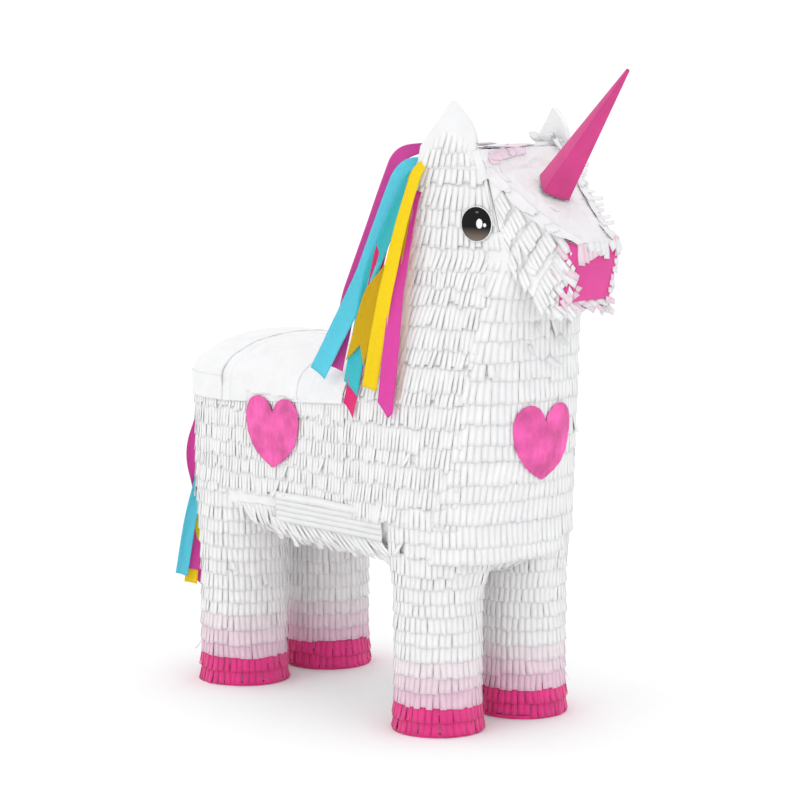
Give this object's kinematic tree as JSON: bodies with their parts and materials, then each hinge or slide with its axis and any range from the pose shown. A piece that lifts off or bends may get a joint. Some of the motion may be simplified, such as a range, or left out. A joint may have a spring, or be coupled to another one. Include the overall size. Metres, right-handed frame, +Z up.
{
  "type": "pinata",
  "caption": "Unicorn party pinata: a hollow card shell under paper fringe, with a horn, ribbon mane and tail, paper hearts and a filling flap in its back.",
  "frame": {"origin": "on the ground, in the plane of symmetry, under the middle of the whole object's box", "axes": "+Z up; the unicorn looks along -Y; +X is its own left side"},
  "size_m": [0.1927, 0.5247, 0.5619],
  "materials": {
    "white_fringe": "matte tissue paper cut into fringe over card",
    "white_tissue": "matte wrinkled tissue paper glued over card",
    "bare_card": "uncoated brown card",
    "hoof_pink": "matte dyed tissue paper",
    "nose_pink": "matte dyed tissue paper over card",
    "horn_pink": "satin coated paper rolled into a cone",
    "eye_print": "glossy black printed disc with white highlights",
    "heart_pink": "crinkled dyed tissue paper over card",
    "ribbon_lilac": "thin translucent streamer",
    "ribbon_magenta": "satin streamer",
    "ribbon_blue": "satin streamer",
    "ribbon_pink": "satin streamer",
    "ribbon_yellow": "satin streamer",
    "ribbon_teal": "satin streamer"
  },
  "bodies": {
    "shell": {"neck_side_right": "white_fringe", "neck_side_left": "white_fringe", "chest_strip": "white_fringe", "nape_strip": "white_fringe", "flank_right": "white_fringe", "flank_left": "white_fringe", "back_panel": "white_fringe", "rump_panel": "white_fringe", "belly_panel": "white_fringe", "muzzle_side_right": "white_fringe", "muzzle_side_left": "white_fringe", "jaw_panel": "white_fringe", "leg_tube_front_right": "white_fringe", "leg_tube_front_left": "white_fringe", "leg_tube_rear_right": "white_fringe", "leg_tube_rear_left": "white_fringe", "poll_panel": "white_tissue", "forehead_panel": "white_tissue", "front_former": "bare_card", "hanger_card": "bare_card", "leg_cap_front_right": "bare_card", "leg_cap_front_left": "bare_card", "leg_cap_rear_right": "bare_card", "leg_cap_rear_left": "bare_card", "hoof_plate_front_right": "hoof_pink", "hoof_plate_front_left": "hoof_pink", "hoof_plate_rear_right": "hoof_pink", "hoof_plate_rear_left": "hoof_pink", "nose_plate": "nose_pink", "horn": "horn_pink", "eye_right": "eye_print", "eye_left": "eye_print", "heart_chest": "heart_pink", "heart_flank_right": "heart_pink", "heart_flank_left": "heart_pink"},
    "flap": {"fill_flap": "white_fringe"},
    "mane": {"mane_ribbon_lilac": "ribbon_lilac", "mane_ribbon_magenta": "ribbon_magenta", "mane_ribbon_short_blue": "ribbon_blue", "mane_ribbon_pink": "ribbon_pink", "mane_ribbon_yellow": "ribbon_yellow", "mane_ribbon_orange": "ribbon_yellow", "mane_ribbon_blue": "ribbon_blue", "mane_ribbon_arch": "ribbon_pink", "mane_knot": "ribbon_pink"},
    "tail": {"tail_ribbon_magenta": "ribbon_magenta", "tail_ribbon_yellow": "ribbon_yellow", "tail_ribbon_blue": "ribbon_blue", "tail_ribbon_rose": "ribbon_pink", "tail_ribbon_pink": "ribbon_pink", "tail_ribbon_teal": "ribbon_teal", "tail_knot": "ribbon_teal"}
  },
  "joints": [
    {"name": "flap_hinge", "type": "hinge", "parent": "shell", "child": "flap", "pos_m": [-0.0003, 0.0895, 0.3165], "axis": [0, 1, 0], "range_deg": [0, 100]},
    {"name": "mane_swing", "type": "hinge", "parent": "shell", "child": "mane", "pos_m": [-0.008, -0.078, 0.486], "axis": [1, 0, 0], "range_deg": [0, 30]},
    {"name": "tail_swing", "type": "hinge", "parent": "shell", "child": "tail", "pos_m": [-0.026, 0.224, 0.3003], "axis": [1, 0, 0], "range_deg": [0, 50]}
  ]
}
